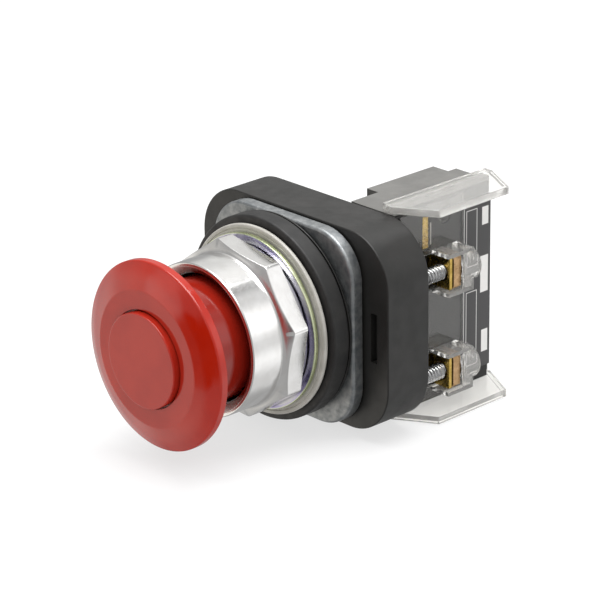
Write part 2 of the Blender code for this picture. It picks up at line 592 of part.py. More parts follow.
def clear_cover():
    """Side cover with a wire pocket and a screw tube at each terminal."""
    bm = bmesh.new()
    add_box(bm, COVER_X0, COVER_X1, COVER_Y0, COVER_Y1, -COVER_HALF_Z, COVER_HALF_Z)
    cover = finish("clear_cover", bm, "clear_plastic")

    def pockets(tool):
        for _, height in TERMINALS:
            add_box(tool, COVER_X0, POCKET_X1, POCKET_Y0, POCKET_Y1,
                    height - POCKET_HALF_Z, height + POCKET_HALF_Z)

    def tubes(tool):
        for _, height in TERMINALS:
            add_lathe(tool, [(TUBE_R, POCKET_OPEN_Y + 0.0003), (TUBE_R, TUBE_END_Y)], MEDIUM,
                      ring=False, x=TERMINAL_X, z=height)

    def hollows(tool):
        for _, height in TERMINALS:
            reach = POCKET_HALF_Z - POCKET_WALL
            add_box(tool, 0.0150, 0.0250, POCKET_Y0 + 0.0004, POCKET_OPEN_Y,
                    height - reach, height + reach)
            add_box(tool, 0.0150, 0.02295, 0.0325, POCKET_Y1 - 0.0005,
                    height - reach, height + reach)
            add_box(tool, 0.0150, 0.0250, 0.0262, 0.0300, height - reach, height + reach)
            add_box(tool, 0.0150, 0.0200, 0.0238, 0.0300, height - 0.0022, height + 0.0022)

    def bores(tool):
        for _, height in TERMINALS:
            add_lathe(tool, [(TUBE_BORE_R, 0.0325), (TUBE_BORE_R, 0.0400)], MEDIUM, ring=False,
                      x=TERMINAL_X, z=height)

    def inner_trim(tool):
        add_box(tool, 0.0100, COVER_X0, 0.0300, 0.0400, -0.0200, 0.0200)
    combine(cover, "UNION", pockets)
    combine(cover, "UNION", tubes)
    combine(cover, "DIFFERENCE", hollows)
    combine(cover, "DIFFERENCE", bores)
    return combine(cover, "DIFFERENCE", inner_trim)


def terminal_guard(name, side):
    bm = bmesh.new()
    add_plan(bm, GUARD_PLAN, side * GUARD_Z0, side * GUARD_Z1)
    return finish(name, bm, "clear_plastic")


def label_plate():
    bm = bmesh.new()
    add_box(bm, COVER_X0, COVER_X0 + LABEL_THICK, LABEL_Y0, BLOCK_Y1, -LABEL_HALF_Z, LABEL_HALF_Z)
    return finish("label_plate", bm, "label")


def build():
    clear_scene()
    for make in (mushroom_head, head_centre_cap, head_sleeve, head_screw, plunger_shaft,
                 actuator_foot, retaining_clip, operator_bushing, mounting_nut, wiper_seal,
                 shaft_guide, detent_ring_spring, die_cast_plate, rear_housing,
                 contact_block_body, contact_plunger, contact_bridge, contact_strip, clear_cover,
                 label_plate):
        make()
    flat_ring("thrust_washer", "passivated_zinc", THRUST_WASHER)
    flat_ring("trim_washer", "washer_grey", TRIM_WASHER, 0.0002)
    flat_ring("front_gasket", "black_rubber", GASKET, 0.0005)
    flat_ring("backing_ring", "black_plastic", BACKING_RING)
    for side, sign in (("upper", 1), ("lower", -1)):
        detent_ball("detent_ball_" + side, sign)
        terminal_guard("terminal_guard_" + side, sign)
        fixing_screw("plate_screw_" + side, PLATE_SCREW_X, sign * PLATE_SCREW_Z,
                     0.0056, PLATE_SCREW_SEAT_Y, 0.0192, PLATE_SCREW_HEAD_R)
        fixing_screw("block_screw_" + side, BLOCK_SCREW_X, sign * BLOCK_SCREW_Z,
                     0.0155, 0.0463, 0.0479, 0.0023)
    coil_spring("return_spring", PLUNGER_X, PLUNGER_Z, SPRING_COIL_R, SPRING_WIRE_R,
                SPRING_Y0, SPRING_Y1, 5)
    coil_spring("bridge_spring", PLUNGER_X, PLUNGER_Z, 0.0010, 0.0002, 0.0317, 0.0334, 3)
    for side, height in TERMINALS:
        fixed_contact(side, height)
        saddle_clamp(side, height)
        terminal_screw(side, height)


build()
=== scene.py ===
"""Looks of the push-pull emergency stop operator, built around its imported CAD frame.

All lengths are in metres in the CAD frame: the axis is Y, the user is at -Y and +Z is up.
"""

import json
import math

import bmesh
import bpy
from mathutils import Matrix, Vector


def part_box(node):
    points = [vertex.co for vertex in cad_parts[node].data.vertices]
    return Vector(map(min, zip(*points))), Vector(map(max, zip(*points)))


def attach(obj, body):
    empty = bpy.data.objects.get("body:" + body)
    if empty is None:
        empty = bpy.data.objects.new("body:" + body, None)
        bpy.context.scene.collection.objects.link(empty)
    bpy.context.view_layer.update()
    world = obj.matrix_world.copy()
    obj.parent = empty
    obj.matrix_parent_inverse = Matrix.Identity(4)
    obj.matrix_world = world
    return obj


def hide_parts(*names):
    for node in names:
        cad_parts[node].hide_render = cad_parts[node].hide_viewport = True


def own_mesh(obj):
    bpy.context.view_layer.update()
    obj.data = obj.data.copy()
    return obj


MM = 0.001
GAP = 0.0003                    # clearance between neighbouring pieces
PAST = 0.001                    # how far a cutter runs past the surface it opens
ROUND = 160                     # sides of a turned piece
RING_ROUND = 200                # sides of a wide thin ring
SMALL_ROUND = 48                # sides of a small hole or screw
CORNER_STEPS = 20               # steps in a large rounded corner
CREASE_DEG = 50                 # steeper edges keep a crease in the shading

# Camera, floor and lamp
CAMERA_POSITION = (0.40512, -0.36570, 0.22075)
CAMERA_RIGHT = (0.6844, 0.7290, -0.0138)
CAMERA_UP = (-0.2607, 0.2623, 0.9290)
CAMERA_BACK = (0.6809, -0.6322, 0.3696)
LENS_MM, SENSOR_MM = 180.2, 36.0
FLOOR_Z, FLOOR_R, FLOOR_GLOW = -0.0227, 6.0, 0.68
FLOOR_COLOURS = ((0.24, 0.24, 0.24), (0.26, 0.26, 0.26))
TOP_BOX_POSITION, TOP_BOX_SIDE, TOP_BOX_WATTS = (0.05, 0.05, 0.80), 0.7, 10.0

# Head: a disc whose face slopes back past its flat middle, a cap set in it, a sleeve behind it
HEAD_R, HEAD_FLAT_R, HEAD_BORE_R = 0.0190, 0.01375, 0.0020
HEAD_BACK_Y, HEAD_EDGE_Y, HEAD_FLAT_Y = -0.0257, -0.02745, -0.02965
HEAD_CONE = (0.0165, -0.0287)
HEAD_POCKET_R, HEAD_POCKET_Y = 0.0040, -0.0272
CAP_R, CAP_SEAT_Y, CAP_FACE_Y = 0.00955, -0.0284, -0.0310
SLEEVE_R, SLEEVE_BORE_R = 0.01245, 0.0102
SLEEVE_WEB_Y, SLEEVE_END_Y = -0.0226, -0.0095

# Nut: eight flats behind a round nose, with a thin lip inside its mouth
NUT_CORNER_R, NUT_NOSE_R, NUT_CORNER_DEG, NUT_SLOPE = 0.0181, 0.0156, 12.5, 0.52
NUT_MOUTH_Y, NUT_CORNER_Y, NUT_FLAT_BACK_Y, NUT_BACK_Y = -0.0162, -0.0073, -0.0038, -0.0028
NUT_MOUTH_R, NUT_MOUTH_INNER_R, NUT_MOUTH_BEVEL = 0.0148, 0.0145, 0.00024
NUT_COLLAR_R, NUT_BORE_R, NUT_EDGE = 0.0162, 0.01495, 0.00012
NUT_LIP_R, NUT_LIP_Y, NUT_LIP_BACK_Y = 0.0133, -0.0150, -0.0146
NUT_CONE_STEP = 0.0006          # the cone's first loop lies this far outside the nose
NUT_CORNER_CUT, NUT_CORNER_STEPS, NUT_SIDE_STEPS = 0.0005, 6, 14

# Rings: node, slot, outer radius, inner radius, front Y, back Y, edge rounding
RINGS = (("thrust_washer", "passivated_zinc", 0.0179, 0.0152, -0.0025, -0.0015, 0.00012),
         ("front_gasket", "black_rubber", 0.0209, 0.0151, 0.0, 0.0040, 0.0005),
         ("backing_ring", "black_plastic", 0.0207, 0.0151, 0.0043, 0.0047, 0.00012))
RING_BORE_EDGE = 0.00005
TRIM_R, TRIM_BORE_R, TRIM_Y0, TRIM_Y1, TRIM_EDGE = 0.0194, 0.0152, -0.0012, -0.0003, 0.00034
TRIM_GROOVE_R, TRIM_GROOVE_DEPTH = (0.0183, 0.01838, 0.01854, 0.01862), 0.00012

# Plate and housing: outlines are (centre X, half width, half height, corner radius)
PLATE = (0.0006, 0.0200, 0.0203, 0.00965)
PLATE_Y0, PLATE_Y1, PLATE_FRONT_EDGE, PLATE_BACK_EDGE = 0.0050, 0.0078, 0.0007, 0.0003
PLATE_BORE_R, PLATE_FLANGE_R, PLATE_FLANGE_Y = 0.01495, 0.0169, 0.0063
PLATE_CUT_Y = (0.0, 0.0120)
HOUSING = (0.0007, 0.02645, 0.02065, 0.01065)
HOUSING_CAVITY = (0.0006, 0.0186, 0.0186, 0.0085)
HOUSING_Y0, HOUSING_Y1, HOUSING_FLOOR_Y = 0.0081, 0.0193, 0.0173
HOUSING_FRONT_EDGE, HOUSING_BACK_EDGE = 0.00028, 0.00030
LEVER_SLOT_X, LEVER_SLOT_HALF_X, LEVER_SLOT_HALF_Z, LEVER_SLOT_DEPTH = 0.0226, 0.00085, 0.0051, 0.0015
SHAFT_HOLE_R = 0.0051
PLUNGER_X, PLUNGER_Z, WINDOW_HALF_X, WINDOW_HALF_Z = 0.0100, -0.0034, 0.0030, 0.0020
PLATE_SCREW_X, PLATE_SCREW_Z = -0.0152, 0.0132
PLATE_SCREW_RECESS_R, PLATE_SCREW_RECESS_Y = 0.0029, 0.0180
BLOCK_SCREW_X, BLOCK_SCREW_Z, BLOCK_SCREW_HOLE_Y = 0.0110, 0.0176, 0.0150
SCREW_HOLE_R = 0.0018

# Fixing screws: node, X, Z of the upper one, tip Y, seat Y, top Y, head radius
FIXING_SCREWS = (("plate_screw", PLATE_SCREW_X, PLATE_SCREW_Z, 0.0056, 0.0183, 0.0192, 0.0026),
                 ("block_screw", BLOCK_SCREW_X, BLOCK_SCREW_Z, 0.0155, 0.0463, 0.0479, 0.0023))
FIXING_SHANK_R, RECESS_DEPTH = 0.0015, 0.0006
RECESS_ARM, RECESS_HALF_WIDTH = 0.62, 0.15       # as shares of the head's radius

# Contact block
BLOCK_SIDE_X = 0.0176
BOSS_Y, BOSS_Z, BOSS_GROOVE_R, BOSS_GROOVE_DEPTH = 0.0330, 0.0176, (0.0012, 0.0018), 0.0006
VENT_X, VENT_Y, VENT_HALF_Z = (0.0015, 0.00235), (0.0300, 0.0430), 0.0042
VENT_CENTRES_Z = (-0.0115, 0.0, 0.0115)
REAR_RECESS = (0.0084, 0.0136, 0.0478, 0.0490, -0.0120, 0.0120)
COVER_FACE_X = 0.01875          # past this the cover is pocket or tube
GUARD_PLAN = ((0.0139, 0.0198), (0.0165, 0.0190), (0.0252, 0.0242),
              (0.0250, 0.0438), (0.0160, 0.0486), (0.0139, 0.0486))
GUARD_FACE_Z, GUARD_LIP, GUARD_DROP = 0.0225, 0.0009, 0.00035
GUARD_SLOT = (0.0160, 0.0167, 0.0290, 0.0372)

# Terminals and their screws
TERMINALS = (("upper", 0.0071), ("lower", -0.0140))
TERMINAL_X = 0.0202
THREAD_PITCH, THREAD_ROOT_R, THREAD_CREST_R = 0.0008, 0.00130, 0.00165
THREAD_TIP_Y, THREAD_END_Y, THREAD_TIP_TAPER = 0.0244, 0.0301, 0.0002
THREAD_FLANK, THREAD_OVERSHOOT = 0.42, 1.15      # flank's share of a pitch; above 1 flattens the crest
THREAD_SIDES, THREAD_ROWS = 40, 8                # points round the screw, and rows per pitch
SCREW_SEAT_Y, SCREW_SHOULDER, SCREW_HEAD_HEIGHT = 0.0331, 0.0012, 0.0019
SCREW_HEAD_R, SCREW_CROWN_R = 0.0025, 0.0020
DRIVE_SLOT_HALF, DRIVE_SLOT_FLOOR, DRIVE_SLOT_REACH = 0.0004, 0.0010, 0.004

# Springs: coil radius, wire radius, turns
RETURN_COIL, BRIDGE_COIL = (0.0022, 0.00028, 5), (0.0010, 0.0002, 3)

# Marks in millimetres: (Y0, Y1, Z0, Z1) on the label and on the block's dark insert
LABEL_LINE, LABEL_FRAME_WIDTH = (38.10, 38.25), 0.14
LABEL_FRAMES = ((38.8, 41.9, 4.6, 16.8), (38.8, 41.9, -16.8, -0.6))
LABEL_PANELS = ((43.3, 45.1, 12.8, 16.6), (42.9, 45.1, -1.6, 6.2), (43.3, 45.1, -14.6, -9.8))
BRACKET = ((28.85, 29.20, 12.4, 17.0), (28.50, 29.20, 16.7, 17.0))
INSERT_X = (17.45, 17.55)

# World light: a dim base and soft lobes (direction, cosine where it starts, where it is full,
# colour added). They stand for softboxes and dark room around the object.
WORLD_BASE = (0.40, 0.40, 0.40)
WORLD_LOBES = (
    ((0.0, 0.0, 1.0), 0.50, 0.95, (0.50, 0.50, 0.50)),
    ((0.68, 0.70, 0.0), 0.72, 0.94, (0.45, 0.45, 0.45)),
    ((0.60, 0.62, 0.48), 0.86, 0.96, (0.55, 0.55, 0.55)),
    ((0.48, 0.62, -0.60), 0.86, 0.97, (0.35, 0.35, 0.35)),
    ((0.28, 0.63, 0.72), 0.92, 0.985, (-0.34, -0.34, -0.34)),
    ((-0.50, 0.63, 0.58), 0.84, 0.96, (0.38, 0.38, 0.37)),
    ((-0.68, -0.63, -0.37), 0.75, 0.93, (0.66, 0.62, 0.55)),
    ((-0.14, -0.97, -0.16), 0.940, 0.962, (-0.55, -0.55, -0.54)),
    ((-0.53, -0.84, 0.14), 0.960, 0.985, (0.70, 0.68, 0.66)),
    ((-0.93, 0.0, -0.37), 0.85, 0.96, (0.45, 0.44, 0.42)),
    ((0.37, -0.63, 0.70), 0.85, 0.96, (0.40, 0.40, 0.40)),
)

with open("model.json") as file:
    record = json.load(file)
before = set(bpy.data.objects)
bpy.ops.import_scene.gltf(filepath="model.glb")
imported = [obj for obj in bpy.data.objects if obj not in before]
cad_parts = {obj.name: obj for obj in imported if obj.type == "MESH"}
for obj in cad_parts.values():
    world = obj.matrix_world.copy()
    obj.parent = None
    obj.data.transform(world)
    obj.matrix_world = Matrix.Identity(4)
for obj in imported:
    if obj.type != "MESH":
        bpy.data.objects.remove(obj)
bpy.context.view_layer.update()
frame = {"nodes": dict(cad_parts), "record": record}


# ---------------------------------------------------------------- node helpers

def start_material(name):
    """A new material with its node tree and its shader."""
    mat = bpy.data.materials.new(name)
    mat.use_nodes = True
    return mat, mat.node_tree, mat.node_tree.nodes["Principled BSDF"]


def feed(tree, socket, value):
    """Link a socket, or set it to a plain value."""
    if isinstance(value, bpy.types.NodeSocket):
        tree.links.new(value, socket)
    else:
        socket.default_value = value


def place(tree):
    """Position in the object's own frame, in metres."""
    return tree.nodes.new("ShaderNodeTexCoord").outputs["Object"]


def stretch(tree, vector, scale):
    """The vector with each axis multiplied by its own scale."""
    node = tree.nodes.new("ShaderNodeMapping")
    feed(tree, node.inputs["Vector"], vector)
    node.inputs["Scale"].default_value = scale
    return node.outputs["Vector"]


def noise(tree, vector, size, detail=3.0, roughness=0.55):
    """Noise from 0 to 1 whose features are about `size` metres across."""
    node = tree.nodes.new("ShaderNodeTexNoise")
    feed(tree, node.inputs["Vector"], vector)
    node.inputs["Scale"].default_value = 1.0 / size
    node.inputs["Detail"].default_value = detail
    node.inputs["Roughness"].default_value = roughness
    return node.outputs["Fac"]


def between(tree, value, low, high, out_low=0.0, out_high=1.0):
    """Smooth step from out_low to out_high as the value goes from low to high."""
    node = tree.nodes.new("ShaderNodeMapRange")
    node.interpolation_type = "SMOOTHSTEP"
    feed(tree, node.inputs["Value"], value)
    for socket, number in zip(("From Min", "From Max", "To Min", "To Max"),
                              (low, high, out_low, out_high)):
        node.inputs[socket].default_value = number
    return node.outputs["Result"]


def math_node(tree, operation, first, second=0.0):
    """Result of one arithmetic step on sockets or plain numbers."""
    node = tree.nodes.new("ShaderNodeMath")
    node.operation = operation
    feed(tree, node.inputs[0], first)
    feed(tree, node.inputs[1], second)
    return node.outputs["Value"]


def blend(tree, factor, first, second):
    """Colour that goes from first to second as factor goes from 0 to 1."""
    node = tree.nodes.new("ShaderNodeMix")
    node.data_type = "RGBA"
    feed(tree, node.inputs["Factor"], factor)
    for key, value in (("A_Color", first), ("B_Color", second)):
        socket = next(s for s in node.inputs if s.identifier == key)
        feed(tree, socket, value if isinstance(value, bpy.types.NodeSocket) else (*value, 1.0))
    return next(s for s in node.outputs if s.identifier == "Result_Color")


def bump(tree, height, distance):
    """Fine relief: a height from 0 to 1 that stands for `distance` metres."""
    node = tree.nodes.new("ShaderNodeBump")
    node.inputs["Distance"].default_value = distance
    feed(tree, node.inputs["Height"], height)
    return node.outputs["Normal"]


def inside(tree, value, low, high, soft=0.05 * MM):
    """1 where the value lies between low and high, with a soft edge."""
    return math_node(tree, "MULTIPLY", between(tree, value, low - soft, low + soft),
                     between(tree, value, high - soft, high + soft, 1.0, 0.0))


def area(tree, y, z, edges):
    """1 inside a rectangle given in millimetres as (y0, y1, z0, z1)."""
    y0, y1, z0, z1 = edges
    return math_node(tree, "MULTIPLY", inside(tree, y, y0 * MM, y1 * MM),
                     inside(tree, z, z0 * MM, z1 * MM))


def around_axis(tree):
    """Vector (angle about Y, distance from Y, y) for marks round the axis, and that distance."""
    axes = tree.nodes.new("ShaderNodeSeparateXYZ")
    feed(tree, axes.inputs[0], place(tree))
    x, y, z = axes.outputs
    angle = math_node(tree, "ARCTAN2", z, x)
    radius = math_node(tree, "SQRT", math_node(
        tree, "ADD", math_node(tree, "MULTIPLY", x, x), math_node(tree, "MULTIPLY", z, z)))
    node = tree.nodes.new("ShaderNodeCombineXYZ")
    for socket, value in zip(node.inputs, (angle, radius, y)):
        feed(tree, socket, value)
    return node.outputs[0], radius


# ---------------------------------------------------------------- materials

def moulded(name, dark, light, rough, patch, grain, relief, dust=0.0, metallic=0.0, specular=0.5,
            dust_colour=(0.5, 0.5, 0.48)):
    """A surface with slow patches of colour, a fine grain in relief, and a little dust."""
    mat, tree, shader = start_material(name)
    spot = place(tree)
    colour = blend(tree, between(tree, noise(tree, spot, patch), 0.3, 0.7), dark, light)
    fine = noise(tree, spot, grain, detail=4.0)
    colour = blend(tree, between(tree, fine, 0.35, 0.75, 0.0, 0.35), colour, dark)
    if dust:
        specks = between(tree, noise(tree, spot, grain * 3.0, detail=5.0, roughness=0.7),
                         0.69, 0.74, 0.0, dust)
        colour = blend(tree, specks, colour, dust_colour)
    feed(tree, shader.inputs["Base Color"], colour)
    shader.inputs["Metallic"].default_value = metallic
    shader.inputs["Specular IOR Level"].default_value = specular
    feed(tree, shader.inputs["Roughness"],
         between(tree, noise(tree, spot, patch * 0.4, detail=5.0), 0.3, 0.7, *rough))
    feed(tree, shader.inputs["Normal"], bump(tree, fine, relief))
    return mat


def block_grey():
    """Mid-grey moulding whose side towards the clear cover is a darker insert with a pale edge."""
    mat = moulded("grey_plastic", (0.120, 0.118, 0.112), (0.150, 0.147, 0.139), (0.32, 0.44),
                  6 * MM, 0.20 * MM, 8e-6, dust=0.10, specular=0.35)
    tree = mat.node_tree
    shader = tree.nodes["Principled BSDF"]
    axes = tree.nodes.new("ShaderNodeSeparateXYZ")
    feed(tree, axes.inputs[0], place(tree))
    x, y, z = axes.outputs
    body_colour = shader.inputs["Base Color"].links[0].from_socket
    insert = blend(tree, noise(tree, place(tree), 2.5 * MM, 4.0),
                   (0.010, 0.010, 0.010), (0.018, 0.017, 0.017))
    bracket = math_node(tree, "MAXIMUM", *(area(tree, y, z, edges) for edges in BRACKET))
    insert = blend(tree, bracket, insert, (0.72, 0.71, 0.68))
    feed(tree, shader.inputs["Base Color"],
         blend(tree, between(tree, x, *(edge * MM for edge in INSERT_X)), body_colour, insert))
    return mat


def glossy_red(name, dark, light):
    """Semi-gloss moulded red with faint flow marks and hairline scratches."""
    mat, tree, shader = start_material(name)
    spot = place(tree)
    base = blend(tree, between(tree, noise(tree, spot, 9 * MM), 0.3, 0.7), dark, light)
    scuffs = between(tree, noise(tree, stretch(tree, spot, (1.0, 1.0, 9.0)), 1.6 * MM, 6.0, 0.75),
                     0.68, 0.80, 0.0, 0.25)
    feed(tree, shader.inputs["Base Color"], blend(tree, scuffs, base, (0.62, 0.16, 0.12)))
    feed(tree, shader.inputs["Roughness"],
         between(tree, noise(tree, spot, 2.5 * MM, 6.0), 0.3, 0.75, 0.08, 0.14))
    fine = noise(tree, spot, 0.35 * MM, 3.0)
    feed(tree, shader.inputs["Normal"], bump(tree, fine, 0.8e-6))
    return mat


def polished_metal():
    """Bright plated metal with fine turning marks round the axis."""
    mat, tree, shader = start_material("polished_metal")
    spot = place(tree)
    turned_at, _ = around_axis(tree)
    marks = noise(tree, stretch(tree, turned_at, (0.0006, 1.0, 1.0)), 0.10 * MM, 3.0)
    haze = noise(tree, spot, 3 * MM, 5.0)
    base = blend(tree, between(tree, haze, 0.3, 0.7), (0.79, 0.78, 0.765), (0.86, 0.855, 0.845))
    pits = between(tree, noise(tree, spot, 0.35 * MM, 5.0, 0.7), 0.72, 0.78, 0.0, 0.5)
    feed(tree, shader.inputs["Base Color"], blend(tree, pits, base, (0.55, 0.54, 0.53)))
    shader.inputs["Metallic"].default_value = 1.0
    feed(tree, shader.inputs["Roughness"], between(tree, marks, 0.3, 0.7, 0.13, 0.21))
    feed(tree, shader.inputs["Normal"], bump(tree, marks, 1.5e-6))
    return mat


def passivated_zinc():
    """Plated washer: violet-grey faces that turn yellow-green at the rim, in drifting films."""
    mat, tree, shader = start_material("passivated_zinc")
    turned_at, radius = around_axis(tree)
    film = noise(tree, stretch(tree, turned_at, (0.0025, 1.0, 1.0)), 1.4 * MM, 3.0)
    face = blend(tree, between(tree, film, 0.35, 0.65), (0.40, 0.37, 0.56), (0.62, 0.62, 0.66))
    rim = blend(tree, between(tree, film, 0.3, 0.7), (0.62, 0.70, 0.42), (0.72, 0.76, 0.52))
    feed(tree, shader.inputs["Base Color"],
         blend(tree, between(tree, radius, 0.0176, 0.0179), face, rim))
    shader.inputs["Metallic"].default_value = 1.0
    feed(tree, shader.inputs["Roughness"], between(tree, film, 0.3, 0.7, 0.22, 0.34))
    feed(tree, shader.inputs["Normal"],
         bump(tree, noise(tree, place(tree), 0.25 * MM), 2.0e-6))
    return mat


def clear_plastic(name, clearness, rough, tint):
    """Moulded plastic that lets light through, faintly cream, with soft flow lines."""
    mat, tree, shader = start_material(name)
    spot = place(tree)
    flow = noise(tree, stretch(tree, spot, (1.0, 0.35, 1.0)), 4 * MM, 2.0)
    feed(tree, shader.inputs["Base Color"],
         blend(tree, flow, tint, (0.985, 0.98, 0.965)))
    feed(tree, shader.inputs["Roughness"],
         between(tree, noise(tree, spot, 1.2 * MM, 4.0), 0.35, 0.75, *rough))
    feed(tree, shader.inputs["Normal"], bump(tree, flow, 1.2e-5))
    shader.inputs["Transmission Weight"].default_value = clearness
    shader.inputs["IOR"].default_value = 1.38
    return mat


def label_face():
    """Blank dark label: a fine pale line, two empty frames and three plain pale panels."""
    mat, tree, shader = start_material("label")
    axes = tree.nodes.new("ShaderNodeSeparateXYZ")
    feed(tree, axes.inputs[0], place(tree))
    _, y, z = axes.outputs
    grain = noise(tree, place(tree), 0.3 * MM, 4.0)
    base = blend(tree, grain, (0.040, 0.039, 0.040), (0.058, 0.056, 0.057))

    def outline(y0, y1, z0, z1):
        line = LABEL_FRAME_WIDTH
        inner = area(tree, y, z, (y0 + line, y1 - line, z0 + line, z1 - line))
        return math_node(tree, "SUBTRACT", area(tree, y, z, (y0, y1, z0, z1)), inner)

    marks = inside(tree, y, *(edge * MM for edge in LABEL_LINE))
    for edges in LABEL_FRAMES:
        marks = math_node(tree, "MAXIMUM", marks, outline(*edges))
    for edges in LABEL_PANELS:
        marks = math_node(tree, "MAXIMUM", marks, area(tree, y, z, edges))
    feed(tree, shader.inputs["Base Color"], blend(tree, marks, base, (0.78, 0.77, 0.75)))
    feed(tree, shader.inputs["Roughness"], between(tree, grain, 0.3, 0.7, 0.32, 0.45))
    feed(tree, shader.inputs["Normal"], bump(tree, grain, 2.0e-6))
    return mat


def make_materials():
    """One material for each slot named in the record."""
    return {
        "head_red": glossy_red("head_red", (0.345, 0.015, 0.007), (0.395, 0.021, 0.010)),
        "plunger_red": moulded("plunger_red", (0.38, 0.03, 0.02), (0.44, 0.04, 0.03), (0.35, 0.48),
                               3 * MM, 0.2 * MM, 4e-6),
        "polished_metal": polished_metal(),
        "passivated_zinc": passivated_zinc(),
        "washer_grey": moulded("washer_grey", (0.36, 0.348, 0.315), (0.46, 0.446, 0.41), (0.26, 0.40),
                               4 * MM, 0.15 * MM, 3e-6),
        "black_rubber": moulded("black_rubber", (0.010, 0.010, 0.010), (0.020, 0.019, 0.018),
                                (0.48, 0.62), 5 * MM, 0.12 * MM, 1.2e-5, dust=0.10,
                                specular=0.42),
        "cast_zinc": moulded("cast_zinc", (0.20, 0.212, 0.22), (0.34, 0.35, 0.352), (0.36, 0.52),
                             1.6 * MM, 0.28 * MM, 2.0e-5, metallic=0.85),
        "black_plastic": moulded("black_plastic", (0.010, 0.010, 0.009), (0.016, 0.015, 0.014),
                                 (0.36, 0.48), 7 * MM, 0.14 * MM, 1.4e-5, dust=0.05,
                                 specular=0.42),
        "grey_plastic": block_grey(),
        "clear_plastic": clear_plastic("clear_plastic", 0.98, (0.02, 0.08), (0.95, 0.94, 0.91)),
        "steel": moulded("steel", (0.52, 0.52, 0.53), (0.68, 0.68, 0.68), (0.18, 0.30),
                         1.4 * MM, 0.30 * MM, 1.5e-6, metallic=1.0),
        "brass": moulded("brass", (0.40, 0.27, 0.06), (0.60, 0.42, 0.12), (0.20, 0.36),
                         1.2 * MM, 0.10 * MM, 3e-6, metallic=1.0),
        "copper_alloy": moulded("copper_alloy", (0.38, 0.24, 0.12), (0.56, 0.37, 0.20),
                                (0.24, 0.40), 1.0 * MM, 0.10 * MM, 4e-6, metallic=1.0),
        "nylon": moulded("nylon", (0.56, 0.55, 0.51), (0.66, 0.65, 0.61), (0.36, 0.48),
                         4 * MM, 0.20 * MM, 4e-6),
        "label": label_face(),
    }


# ---------------------------------------------------------------- mesh helpers

def rounded(corners, closed=True, steps=5):
    """Points of a 2-D line whose corners (a, b, cut) are rounded by true arcs from `cut` away."""
    points, count = [], len(corners)
    for i, (a, b, cut) in enumerate(corners):
        here = Vector((a, b))
        if cut == 0 or (not closed and i in (0, count - 1)):
            points.append(here)
            continue
        to_last = (Vector(corners[i - 1][:2]) - here).normalized()
        to_next = (Vector(corners[(i + 1) % count][:2]) - here).normalized()
        middle = (to_last + to_next).normalized()
        centre = here + middle * (cut / to_last.dot(middle))
        start, end = here + to_last * cut - centre, here + to_next * cut - centre
        sweep = math.atan2(start.x * end.y - start.y * end.x, start.dot(end))
        for step in range(steps + 1):
            turn = sweep * step / steps
            points.append(centre + Vector((start.x * math.cos(turn) - start.y * math.sin(turn),
                                           start.x * math.sin(turn) + start.y * math.cos(turn))))
    return points


def skin(bm, loops, ring=False):
    """Join equal-length loops in order; a ring closes on itself, anything else gets end faces."""
    rows = [[bm.verts.new(point) for point in loop] for loop in loops]
    pairs = list(zip(rows, rows[1:]))
    if ring:
        pairs.append((rows[-1], rows[0]))
    for first, second in pairs:
        for i in range(len(first)):
            j = (i + 1) % len(first)
            bm.faces.new((first[i], first[j], second[j], second[i]))
    if not ring:
        bm.faces.new(rows[0])
        bm.faces.new(rows[-1])


def lathe_loops(points, x=0.0, z=0.0, count=ROUND):
    """Circles for (radius, y) points about a line along Y through x and z."""
    turns = [2 * math.pi * i / count for i in range(count)]
    return [[(x + r * math.cos(t), y, z + r * math.sin(t)) for t in turns] for r, y in points]


def box_loops(x0, x1, y0, y1, z0, z1):
    """The front and back rectangle of a box."""
    return [[(x0, y, z0), (x1, y, z0), (x1, y, z1), (x0, y, z1)] for y in (y0, y1)]


def rectangle(outline, y, inset=0.0):
    """Loop of a rounded rectangle (centre X, half width, half height, corner radius)."""
    centre, half_x, half_z, radius = outline
    half_x, half_z, radius = half_x - inset, half_z - inset, radius - inset
    corners = [(centre + half_x * sx, half_z * sz, radius)
               for sx, sz in ((1, -1), (1, 1), (-1, 1), (-1, -1))]
    return [(p.x, y, p.y) for p in rounded(corners, steps=CORNER_STEPS)]


def tool(loops, ring=False):
    """A hidden cutter made of one skin."""
    bm = bmesh.new()
    skin(bm, loops, ring)
    return as_object("cutter", bm)


def as_object(name, bm):
    """A scene object from a finished mesh, with its faces turned outwards."""
    bmesh.ops.recalc_face_normals(bm, faces=bm.faces)
    mesh = bpy.data.meshes.new(name)
    bm.to_mesh(mesh)
    bm.free()
    obj = bpy.data.objects.new(name, mesh)
    bpy.context.collection.objects.link(obj)
    return obj


def bake_modifiers(obj):
    """Keep the modified mesh and drop the modifiers."""
    bpy.context.view_layer.update()
    graph = bpy.context.evaluated_depsgraph_get()
    mesh = bpy.data.meshes.new_from_object(obj.evaluated_get(graph))
    obj.modifiers.clear()
    obj.data = mesh


def cut(obj, cutters):
    """Take the cutters away from the object, and remove them from the scene."""
    for cutter in cutters:
        modifier = obj.modifiers.new("cut", "BOOLEAN")
        modifier.operation, modifier.solver, modifier.object = "DIFFERENCE", "EXACT", cutter
    bake_modifiers(obj)
    for cutter in cutters:
        bpy.data.objects.remove(cutter, do_unlink=True)


def ease(obj, width=0.0, limit_deg=40, segments=3):
    """Round the sharp edges if a width is given, and shade smooth with flat faces kept flat."""
    if width:
        modifier = obj.modifiers.new("ease", "BEVEL")
        modifier.width, modifier.segments = width, segments
        modifier.limit_method, modifier.angle_limit = "ANGLE", math.radians(limit_deg)
    bake_modifiers(obj)
    obj.data.shade_smooth()
    obj.data.set_sharp_from_angle(angle=math.radians(CREASE_DEG))
    normals = obj.modifiers.new("normals", "WEIGHTED_NORMAL")
    normals.keep_sharp = True
    bake_modifiers(obj)


